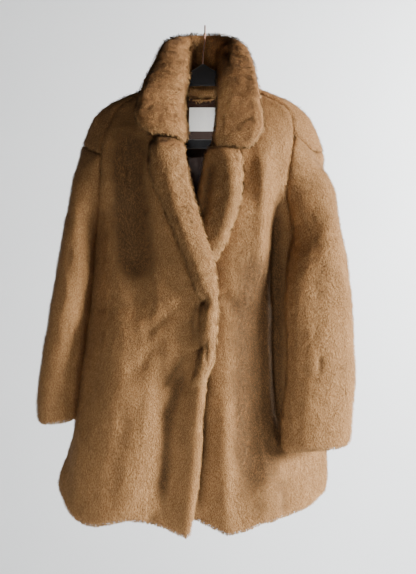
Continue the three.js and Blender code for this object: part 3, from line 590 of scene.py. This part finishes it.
for side, creases, spacing, seed in (
    ("right", right_sleeve_creases, 1.6 * MM, 41),
    ("left", left_sleeve_creases, 1.5 * MM, 51),
):
    node = f"sleeve_{side}"
    sleeve = soft_copy(node, f"{node}_cloth", 5 * MM)
    shape_cloth(sleeve, from_line(*SLEEVE_LINES[side]), creases)
    sleeve.data.materials.append(backing)
    sleeve.data.materials.append(satin)
    sleeve_pile = grow_pile(sleeve, f"{node}_pile", spacing, 6.0 * MM, 1.75 * MM, seed)
    finish_cloth(sleeve, sleeve_pile, node)


# Collar
# One wide collar of two layers of fur, back to back, sewn round the neck. It stands behind the
# hanger and opens outward, and its longer pile breaks into clumps of pale tips.

clumpy_pile = pile_material("clumpy_pile", PILE_ROOT_AND_SHADE, (0.64, 0.37, 0.16))

collar = soft_copy("collar", "collar_cloth", 5 * MM, swell=0.8 * MM)
shape_cloth(collar, None, coarse=2.0 * MM, fine=1.2 * MM)
collar.data.materials.append(backing)
collar.data.materials.append(backing)
collar_pile = grow_pile(collar, "collar_pile", 1.4 * MM, 6.5 * MM, 1.7 * MM, 61,
                        nap=(0.0, 0.0, -0.5), clump=0.011, pull=0.9, disorder=0.25,
                        material=clumpy_pile)
finish_cloth(collar, collar_pile, "collar")


# Lapels
# The tops of the fronts turn back as thick soft rolls of fur on fur. The right one runs on down
# the edge as a narrow roll, pinched twice where the hidden closures hold it.

PINCHES = [(-0.006, -0.546), (-0.016, -0.633)]
PINCH_DEPTH = 9 * MM
PINCH_WIDTH = 14 * MM
FOOT_SINK = Vector((-9, 9, 0)) * MM  # the roll's foot runs out into the edge of the front
FOOT_HEIGHTS = (-0.66, -0.71)
LAPEL_FORMS = {
    "right": [
        {"path": [(-0.072, -0.27), (-0.058, -0.36), (-0.024, -0.47), (0.0, -0.53)],
         "width": 0.012, "out": 5 * MM},
        {"path": [(0.002, -0.615), (0.003, -0.66)], "width": 0.004, "out": -6 * MM},
        {"path": [(-0.010, -0.541), (-0.004, -0.549)], "width": 0.008, "out": -8 * MM},
        {"path": [(-0.018, -0.628), (-0.013, -0.638)], "width": 0.008, "out": -8 * MM},
    ],
    "left": [
        {"path": [(0.014, -0.27), (0.004, -0.33), (-0.012, -0.41)], "width": 0.013, "out": -8 * MM},
        {"path": [(0.048, -0.28), (0.052, -0.34), (0.039, -0.40), (0.018, -0.46)],
         "width": 0.013, "out": 6 * MM},
    ],
}
GORGE_RISE = 9 * MM  # the lapels' tops run up under the collar
GORGE_HEIGHTS = (-0.34, -0.27)
for side, spacing, seed in (("right", 1.3 * MM, 71), ("left", 1.3 * MM, 81)):
    node = f"lapel_{side}"
    lapel = soft_copy(node, f"{node}_roll", 4 * MM, 10)
    for vertex in lapel.data.vertices:
        vertex.co.z += GORGE_RISE * smooth_step(*GORGE_HEIGHTS, vertex.co.z)
    if side == "right":
        for vertex in lapel.data.vertices:
            for x, z in PINCHES:
                far = math.hypot(vertex.co.x - x, vertex.co.z - z)
                vertex.co.y += PINCH_DEPTH * math.exp(-((far / PINCH_WIDTH) ** 2))
            vertex.co += FOOT_SINK * smooth_step(*FOOT_HEIGHTS, vertex.co.z)
    shape_cloth(lapel, None, LAPEL_FORMS[side], coarse=1.8 * MM, fine=1.2 * MM)
    lapel.data.materials.append(backing)
    lapel.data.materials.append(backing)
    lapel_pile = grow_pile(lapel, f"{node}_pile", spacing, 7.0 * MM, 1.6 * MM, seed,
                           nap=(0.0, 0.0, -0.5), clump=0.010, pull=0.9, disorder=0.25,
                           material=clumpy_pile)
    for piece in (lapel, lapel_pile):
        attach(piece, "root")
        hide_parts(node)


# Back lining
# Brown satin inside the back, seen in the neck. A pleat for ease runs down its middle, and the
# cloth sags into one long curved fold under the collar.

lining = bpy.data.objects.new("back_lining_cloth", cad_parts["back_lining"].data.copy())
bpy.context.collection.objects.link(lining)
weld = lining.modifiers.new("weld", "WELD")
weld.merge_threshold = 0.1 * MM
finer = lining.modifiers.new("finer", "SUBSURF")
finer.subdivision_type = "SIMPLE"
finer.levels = 2
finer.render_levels = 2
evaluated = lining.evaluated_get(bpy.context.evaluated_depsgraph_get())
lining_mesh = bpy.data.meshes.new_from_object(evaluated)
lining.modifiers.clear()
lining.data = lining_mesh
lining_folds = [
    {"path": [(-0.006, -0.15), (-0.008, -0.30), (-0.008, -0.60)], "width": 0.006, "out": -3 * MM},
    {"path": [(-0.045, -0.24), (-0.02, -0.29), (-0.016, -0.37)], "width": 0.008, "out": -4 * MM},
    {"path": [(0.03, -0.20), (0.02, -0.30), (0.01, -0.40)], "width": 0.010, "out": -2 * MM},
]
for vertex in lining_mesh.vertices:
    vertex.co.y += crease_push(vertex.co, lining_folds)
for polygon in lining_mesh.polygons:
    polygon.use_smooth = True
lining_mesh.materials.clear()
lining_mesh.materials.append(satin)
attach(lining, "root")
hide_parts("back_lining")


# Label
# A blank woven label in white yarn. It is stitched flat to the lining, under the collar's seam
# and above the hanger's bar.

woven, woven_shader = plain_material("woven_label", 0.7)
vary(woven, woven_shader, (0.93, 0.92, 0.90), (0.02, 0.06), (0.0012, 0.12), 0.3, 0.2 * MM)
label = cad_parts["label"]
label.data.materials.clear()
label.data.materials.append(woven)


# Hanger
# A slim moulded hanger with a lower bar, covered in black flock that swallows the light. It
# stands inside the coat and carries it by the shoulders.

flock, flock_shader = plain_material("black_flock", 0.9)
flock_shader.inputs["Sheen Weight"].default_value = 0.35
vary(flock, flock_shader, (0.010, 0.010, 0.012), (0.02, 0.4), (0.0012, 0.8), 0.5, 0.4 * MM)
hanger = soft_copy("hanger", "hanger_frame", 2.2 * MM, 4)
hanger.data.materials.append(flock)
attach(hanger, "root")
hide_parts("hanger")


# Hook
# One piece of rose-gold wire, bent over like a question mark. Its straight end is set in the
# hanger's hub.

rose_gold, rose_gold_shader = plain_material("rose_gold_wire", 0.25)
rose_gold_shader.inputs["Metallic"].default_value = 1.0
vary(rose_gold, rose_gold_shader, (0.80, 0.46, 0.33), (0.01, 0.2), (0.0008, 0.2))
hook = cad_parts["hanger_hook"]
hook.data.materials.clear()
hook.data.materials.append(rose_gold)


# Room
# A plain pale wall and floor. A soft light comes from the viewer's right, a weak one from below
# lifts the lower front, a narrow one reaches the label, and two light the wall. The camera is
# level with the middle of the coat.

paint, paint_shader = plain_material("pale_paint", 0.9)
vary(paint, paint_shader, (0.80, 0.81, 0.82), (0.5, 0.06), (0.01, 0.04))
ROOM_SIDE = 4.0
ROOM_FRONT = -5.0
WALL_Y = 3.2
WALL_TOP = 2.5
FLOOR_Z = -2.1


def room_surface(name, near, far):
    """One flat quad across the room, between two edges given as (y, z)."""
    mesh = bpy.data.meshes.new(name)
    corners = [
        (-ROOM_SIDE, *near), (ROOM_SIDE, *near), (ROOM_SIDE, *far), (-ROOM_SIDE, *far),
    ]
    mesh.from_pydata(corners, [], [(0, 1, 2, 3)])
    mesh.materials.append(paint)
    surface = bpy.data.objects.new(name, mesh)
    bpy.context.collection.objects.link(surface)


room_surface("wall", (WALL_Y, FLOOR_Z), (WALL_Y, WALL_TOP))
room_surface("floor", (ROOM_FRONT, FLOOR_Z), (WALL_Y, FLOOR_Z))


def soft_light(name, place, aim, size, power, colour, spread=180):
    lamp = bpy.data.lights.new(name, "AREA")
    lamp.spread = math.radians(spread)
    lamp.shape = "DISK"
    lamp.size = size
    lamp.energy = power
    lamp.color = colour
    light = bpy.data.objects.new(name, lamp)
    bpy.context.collection.objects.link(light)
    light.location = place
    light.rotation_euler = (Vector(aim) - Vector(place)).to_track_quat("-Z", "Y").to_euler()


MIDDLE = (0.0, 0.0, -0.5)
NECK = (0.0, 0.0, -0.19)
LOW_FRONT = (-0.1, 0.0, -0.98)
WARM = (1.0, 0.98, 0.95)
COOL = (0.97, 0.99, 1.0)
soft_light("window", (2.82, -1.02, -0.15), MIDDLE, 0.9, 285, WARM)
soft_light("room", (-0.3, -2.2, -1.4), LOW_FRONT, 0.9, 2.4, WARM, spread=52)
soft_light("neck", (0.02, -1.6, 0.1), NECK, 0.12, 0.045, WARM, spread=6)
soft_light("wall_wash", (3.0, 1.5, 0.4), (1.3, WALL_Y, -0.1), 1.5, 350, COOL)
soft_light("wall_fill", (-3.2, 1.2, 0.2), (-0.6, WALL_Y, -0.6), 2.0, 8, COOL)

world = bpy.data.worlds.new("daylight")
world.use_nodes = True
world.node_tree.nodes["Background"].inputs["Color"].default_value = (0.86, 0.9, 0.95, 1.0)
world.node_tree.nodes["Background"].inputs["Strength"].default_value = 0.07
bpy.context.scene.world = world

PHOTO_HEIGHT = 574
FOCAL_PIXELS = 950
camera_data = bpy.data.cameras.new("camera")
camera_data.sensor_fit = "VERTICAL"
camera_data.sensor_width = 36.0
camera_data.sensor_height = 36.0
camera_data.lens = camera_data.sensor_height * FOCAL_PIXELS / PHOTO_HEIGHT
camera = bpy.data.objects.new("camera", camera_data)
bpy.context.collection.objects.link(camera)
camera.location = (0.006, -1.9, -0.52)
camera.rotation_euler = (math.radians(90), 0, 0)
bpy.context.scene.camera = camera
